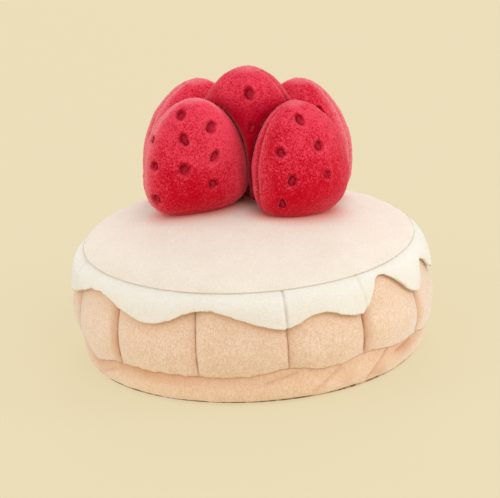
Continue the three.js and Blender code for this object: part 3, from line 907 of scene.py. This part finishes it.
def room_among(others, berry, angle, share):
    """How far out from its axis a berry's skin can stand, from 0 to 1, before it presses on the others."""
    def blocked(swell):
        points = berry_skin(berry, angle, share, swell)
        return np.any([within_berry(other, points, BERRY_GAP) for other in others], axis=0)

    free = np.zeros(np.broadcast(angle, share).shape)
    full = np.ones(free.shape)
    for _ in range(9):
        middle = (free + full) / 2
        hit = blocked(middle)
        free, full = np.where(hit, free, middle), np.where(hit, middle, full)
    free = np.where(blocked(np.ones(free.shape)), free, 1)
    # Below its upper part the skin doesn't swell out again under a place that is squeezed in.
    for row in range(len(free) - 2, -1, -1):
        if share[row, 0] < 0.6:
            free[row] = np.minimum(free[row], free[row + 1])
    # The squeezed places are eased into the rest, and never outwards.
    eased = free
    for _ in range(60):
        padded_rows = np.vstack([eased[:1], eased, eased[-1:]])
        around_it = (np.roll(eased, 1, 1) + np.roll(eased, -1, 1) + padded_rows[:-2] + padded_rows[2:]) / 4
        eased = np.minimum(free, around_it)
    return eased


def nearness(points, berries, reach):
    """How close points are to some berries, from 0 at a reach to 1 where they touch."""
    steps = np.linspace(0.06, 1, 10) * reach
    return np.mean([np.any([within_berry(berry, points, step) for berry in berries], 0)
                    for step in steps], 0)


def bed_on_dome(berry, points, share):
    """Beds a berry on the dome: its foot follows the dome part of the way, and higher up less and less."""
    dome = dome_over(points[..., 0], points[..., 1])
    bedded = points[..., 2] + 0.55 * (dome - berry_axes(berry)[0][2]) * (1 - share) ** 4
    points[..., 2] = np.maximum(bedded, dome + 0.2 * MM)
    return points


def berry_grid():
    """The grid of a berry's skin: shares of its height, evenly far apart along the skin, the directions
    round it, and the degrees from each direction to the nearer side seam."""
    fine = np.linspace(0, 1, 4000)
    run = np.hypot(np.diff(fullness(fine)) * BERRY_WIDTH / 2, np.diff(fine) * BERRY_HEIGHT)
    run = np.append(0, np.cumsum(run))
    share = np.interp(np.linspace(0, run[-1], BERRY_ROWS + 1)[:-1], run, fine)[:, None]
    angles = np.arange(0, 360, BERRY_STEP)
    return share, angles, 90 - np.abs(turn_between(0, 2 * angles)) / 2


class Seed:
    """A stitched seed: its point of a berry's grid, its middle, the directions across it, up it and out of
    the cloth, and its half width and height."""

    def __init__(self, rings, at, width, height, turn):
        row, column = at
        across = rings[row, (column + 3) % rings.shape[1]] - rings[row, column - 3]
        upward = rings[row + 3, column] - rings[row - 3, column]
        out = np.cross(across, upward)
        out /= np.linalg.norm(out)
        upward /= np.linalg.norm(upward)
        side = np.cross(upward, out)
        cos, sin = math.cos(math.radians(turn)), math.sin(math.radians(turn))
        self.at, self.middle, self.out = at, rings[at], out
        self.side, self.up = side * cos + upward * sin, upward * cos - side * sin
        self.wide, self.tall = SEED_WIDTH / 2 * width, SEED_HEIGHT / 2 * height

    def paths(self, rings):
        """The paths round its rim and up its middle, just over the finished skin, for threads to cross."""
        middle = self.middle + self.out * ((rings[self.at] - self.middle) @ self.out + 0.12 * MM)
        turn = np.linspace(0, 2 * np.pi, 24, endpoint=False)[:, None]
        rim = middle + self.side * np.cos(turn) * 0.8 * self.wide + self.up * np.sin(turn) * 0.8 * self.tall
        core = middle + self.up * np.linspace(-0.54, 0.54, 7)[:, None] * self.tall
        return (rim, self.out, True), (core, self.out, False)


def seeds_on(berry, rings, free, share, angles, chance):
    """The seeds on both panels of a berry, where its skin is free to stand out."""
    seeds = []
    for angle, height in (*berry.seeds, *((a + 180, s) for a, s in PANEL_SEEDS)):
        at = int(np.abs(share[:, 0] - height).argmin()), int(np.abs(turn_between(angles, angle)).argmin())
        shape = chance.uniform(*SEED_RANGE)
        if free[at]:
            seeds.append(Seed(rings, at, *shape))
    return seeds


def stitched_in(seeds, rings, dimple):
    """What the seeds do to the cloth: how far it sinks, how much it takes the thread's colour, with painted
    shadow on each dimple's upper left, and a painted highlight on the lower right of the lip round them."""
    sunk, thread_and_shadow, lip = (np.zeros(rings.shape[:2]) for _ in range(3))
    ragged = 1 + 0.2 * lumps(rings, 1.1 * MM, 15)
    for seed in seeds:
        off = rings - seed.middle
        right, high = off @ seed.side / seed.wide, off @ seed.up / seed.tall
        far = np.sqrt(right**2 + high**2 + (off @ seed.out / (4 * MM)) ** 2)
        lower_right = (right - high) / (1.4 * np.maximum(far, 0.3))
        far = far * ragged
        sunk += dimple * (1 - smooth(far, 0.75, 1.3)) - 0.2 * MM * bell(far - 1.55, 0.35)
        # The thread's colour in and round each dimple, more on its upper left as painted shadow.
        ring = (0.5 - 0.38 * lower_right) * bell(far - 0.85, 0.36) + 0.3 * (1 - smooth(far, 0.6, 1))
        thread_and_shadow = np.maximum(thread_and_shadow, ring)
        # Painted highlight on the lower right of the lip round each seed.
        lip += (0.5 + 0.6 * lower_right) * bell(far - 1.45, 0.3)
    return sunk, thread_and_shadow, lip


class TART_OT_berries(bpy.types.Operator):
    """Makes the five strawberries and stitches their seeds"""

    bl_idname = "tart.berries"
    bl_label = "Strawberries"

    def execute(self, context):
        settings = context.scene.tart_berry
        velvet = berry_pile("berry_velvet", settings)
        share, angles, off_seam = berry_grid()
        pull = 1 - settings.groove * bell(off_seam, 3.6) + 0.014 * bell(off_seam - 10, 5)
        chance = np.random.default_rng(5)
        paths = []
        for name, berry in BERRIES.items():
            room = np.ones((len(share), 1))
            if berry.gives_way:
                room = room_among([BERRIES[other] for other in berry.gives_way], berry, angles[None], share)
            rings = bed_on_dome(berry, berry_skin(berry, angles[None], share, room * pull), share)
            free = np.broadcast_to(room, rings.shape[:2]) > 0.8
            seeds = seeds_on(berry, rings, free, share, angles, chance)
            sunk, thread_and_shadow, lip = stitched_in(seeds, rings, settings.dimple)
            others = [other for key, other in BERRIES.items() if key != name]
            touching = nearness(rings, others, berry.shade_between * MM)
            above = rings[..., 2] - dome_over(rings[..., 0], rings[..., 1])
            tufts = lumps(rings, 0.44 * MM, 13) * (1 - thread_and_shadow)
            relief = rough(rings, (0.25, 6, 11), (0.08, 1.3, 12)) + settings.nap * tufts
            rings = lifted(rings, relief * smooth(share, 0, 0.08) - sunk)
            # The nap mark: painted shade low on each panel's middle, painted highlight on the ridges beside
            # the side seams.
            nap = bell(share - 0.2, 0.22) * bell(90 - off_seam, 58) - bell(off_seam - 8, 4)
            # Painted highlights on the lips round the seeds and the tufts' tops, and the berry's patch of
            # painted light.
            patch_at, patch_light = berry.painted_light_patch
            nap = nap - 0.6 * lip - 0.7 * tufts - patch_light * towards(patch_at, angles, 40)
            # Painted shade where other berries come close, fading out higher up.
            shade_between = 0.09 * berry.shade_between * touching * (1 - smooth(share, 0.66, 0.9))
            # Painted rim light along the panels' edges and at the top, kept off where berries touch.
            raised = berry.rim_light_strength * bell(off_seam, 18) + 0.8 * smooth(share, 0.95, 1)
            raised = raised * (1 - np.clip(12 / berry.shade_between * touching, 0, 1))
            # Marks: painted shade between the berries and at their feet on the dome, and painted crease shade
            # in the side seams.
            piece = skin(
                name + "_plush", rings, berry_axes(berry)[0] + (0, 0, 0.2 * MM), rings[-1].mean(0),
                nap=nap, stitched=thread_and_shadow, crease=0.8 * bell(off_seam, 2.4)[None],
                near=np.clip(shade_between + 0.35 * bell(above, 1.2 * MM), 0, 1), raised=np.clip(raised, 0, 1))
            dress(piece, velvet, name)
            paths += [seed.paths(rings) for seed in seeds]
        rims, cores = zip(*paths)
        stitch("seed_rims", "berry", settings.thread, rims, Spacing=0.28 * MM, Length=0.85 * MM,
               Thickness=0.26 * MM, Jitter=0.9, Gaps=0.6, Seed=8)
        stitch("seed_middles", "berry", settings.seed, cores, Spacing=0.28 * MM, Length=1.8 * MM,
               Thickness=0.34 * MM, Jitter=0.7, Seed=9)
        return {"FINISHED"}


# ---- the stage
CAMERA_ELEVATION, CAMERA_ROLL, CAMERA_DISTANCE = math.radians(19), math.radians(3.3), 1.0
CAMERA_LENS = 216
AIM = Vector((0, 0, 28 * MM))
AIM_OFFSET = (-0.3 * MM, 5.2 * MM)
FLOOR_REACH, FLOOR_DROP = 3, 0.2 * MM
# How much of its colour the floor gives off by itself, and how much it throws back.
FLOOR_GLOW, FLOOR_MATT = (0.78, 0.765, 0.745), (0.208, 0.226, 0.25)
KEY_PLACE, KEY_SIZE, FILL_SIZE = (0.45, -0.7, 0.95), 0.7, 0.6
# Name, place, power against the setting, and colour.
FILL_LIGHTS = (
    ("left", (-0.95, -0.15, 0.4), 1.95, (0.9, 0.96, 1)),
    ("right", (0.95, -0.15, 0.5), 2.75, (0.88, 0.95, 1)),
    ("back", (0.1, 0.9, 0.8), 2.2, (1, 1, 1)),
)


class TART_OT_stage(bpy.types.Operator):
    """Lays the floor and sets the lights and the camera"""

    bl_idname = "tart.stage"
    bl_label = "Stage"

    def execute(self, context):
        settings = context.scene.tart_stage
        corners = [(x * FLOOR_REACH, y * FLOOR_REACH, 0) for x, y in ((-1, -1), (1, -1), (1, 1), (-1, 1))]
        floor = object_of("floor", corners, [(0, 1, 2, 3)], {})
        floor.location.z = -FLOOR_DROP
        floor.data.materials.append(self.floor_material(settings))
        world = bpy.data.worlds.new("studio")
        world.use_nodes = True
        background = world.node_tree.nodes["Background"]
        background.inputs["Color"].default_value = (1, 1, 1, 1)
        background.inputs["Strength"].default_value = settings.sky
        context.scene.world = world
        self.light("key", KEY_PLACE, KEY_SIZE, settings.key, (1, 1, 1))
        for name, place, share, colour in FILL_LIGHTS:
            self.light(name, place, FILL_SIZE, settings.fill * share, colour)
        self.camera(context)
        context.scene.view_settings.view_transform = "Standard"
        context.scene.view_settings.look = "None"
        return {"FINISHED"}

    def floor_material(self, settings):
        """A floor that glows in its own colour and takes only a faint shadow."""
        material = bpy.data.materials.new("floor")
        material.use_nodes = True
        tree = material.node_tree
        tree.nodes.remove(tree.nodes["Principled BSDF"])
        glowing, matt = ((*(c * s for c, s in zip(settings.floor, shares)), 1)
                         for shares in (FLOOR_GLOW, FLOOR_MATT))
        glow = grow(tree, "ShaderNodeEmission", None, {"Color": glowing, "Strength": 1.0}).outputs[0]
        thrown = grow(tree, "ShaderNodeBsdfDiffuse", None, {"Color": matt}).outputs[0]
        both = grow(tree, "ShaderNodeAddShader", None, {0: glow, 1: thrown}).outputs[0]
        tree.links.new(both, tree.nodes["Material Output"].inputs["Surface"])
        return material

    def light(self, name, place, size, power, colour):
        lamp = bpy.data.lights.new(name, "AREA")
        lamp.shape, lamp.size, lamp.energy, lamp.color = "DISK", size, power, colour
        holder = linked(name, lamp)
        holder.location = place
        holder.rotation_mode = "QUATERNION"
        holder.rotation_quaternion = (Vector(place) - AIM).to_track_quat("Z", "Y")

    def camera(self, context):
        data = bpy.data.cameras.new("camera")
        data.lens, data.sensor_width = CAMERA_LENS, 36
        data.clip_start, data.clip_end = 0.05, 20
        camera = linked("camera", data)
        back = Vector((0, -math.cos(CAMERA_ELEVATION), math.sin(CAMERA_ELEVATION)))
        right = Vector((1, 0, 0))
        up = back.cross(right)
        c, s = math.cos(CAMERA_ROLL), math.sin(CAMERA_ROLL)
        right, up = c * right - s * up, s * right + c * up
        place = AIM + back * CAMERA_DISTANCE + right * AIM_OFFSET[0] + up * AIM_OFFSET[1]
        camera.matrix_world = Matrix.Translation(place) @ Matrix((right, up, back)).transposed().to_4x4()
        context.scene.camera = camera


class TART_PT_panel(bpy.types.Panel):
    """The settings, and a button for each group of pieces and for the stage"""

    bl_idname = "TART_PT_panel"
    bl_label = "Plush tart"
    bl_space_type = "VIEW_3D"
    bl_region_type = "UI"
    bl_category = "Tart"

    def draw(self, context):
        for name in SETTINGS:
            box = self.layout.box()
            group = getattr(context.scene, name)
            for key in group.bl_rna.properties.keys():
                if key not in ("rna_type", "name"):
                    box.prop(group, key)
        for operator in OPERATORS:
            self.layout.operator(operator.bl_idname)


SETTINGS = {
    "tart_base": BaseSettings, "tart_wall": WallSettings, "tart_skirt": SkirtSettings,
    "tart_top": TopSettings, "tart_berry": BerrySettings, "tart_stage": StageSettings,
}
OPERATORS = (
    TART_OT_crust_base, TART_OT_crust_wall, TART_OT_cream_skirt, TART_OT_cream_top, TART_OT_berries,
    TART_OT_stage,
)


def register():
    for kind in (*SETTINGS.values(), *OPERATORS, TART_PT_panel):
        bpy.utils.register_class(kind)
    for name, kind in SETTINGS.items():
        setattr(bpy.types.Scene, name, PointerProperty(type=kind))


def unregister():
    for name in SETTINGS:
        delattr(bpy.types.Scene, name)
    for kind in (TART_PT_panel, *reversed(OPERATORS), *SETTINGS.values()):
        bpy.utils.unregister_class(kind)


def main():
    register()
    for operator in OPERATORS:
        getattr(bpy.ops.tart, operator.bl_idname.split(".")[1])()


if __name__ == "__main__":
    main()
